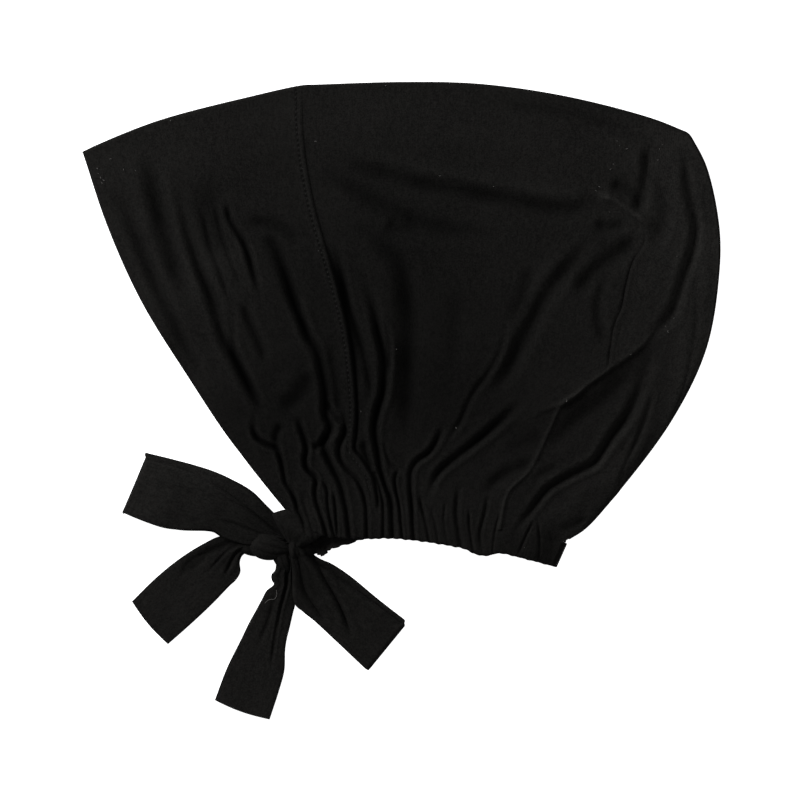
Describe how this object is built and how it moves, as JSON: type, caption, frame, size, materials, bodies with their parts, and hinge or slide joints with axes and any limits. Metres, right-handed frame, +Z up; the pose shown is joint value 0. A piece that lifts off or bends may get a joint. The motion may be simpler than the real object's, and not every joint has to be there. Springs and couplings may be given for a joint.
{
  "type": "hijab underscarf cap",
  "caption": "Soft jersey underscarf cap with a seamed front band, gathered elastic neck casing and a tied bow, lying flat on its side.",
  "frame": {"origin": "on the table, under the middle of the cap's box", "axes": "+X from the face opening to the back of the head, +Y from the neck to the crown, +Z up from the table through the two layers"},
  "size_m": [0.318, 0.3168, 0.019],
  "materials": {
    "jersey": "matte fine rib jersey",
    "hemmed_jersey": "matte fine rib jersey, turned and stitched"
  },
  "bodies": {
    "root": {"front_panel": "jersey", "crown_panel": "jersey", "back_panel": "jersey", "neck_casing": "hemmed_jersey", "tie_strap_upper": "hemmed_jersey", "tie_strap_under": "hemmed_jersey", "tie_knot": "hemmed_jersey", "bow_loop_upper": "jersey", "bow_loop_lower": "jersey", "tie_tail_left": "jersey", "tie_tail_bottom": "jersey"}
  },
  "joints": []
}
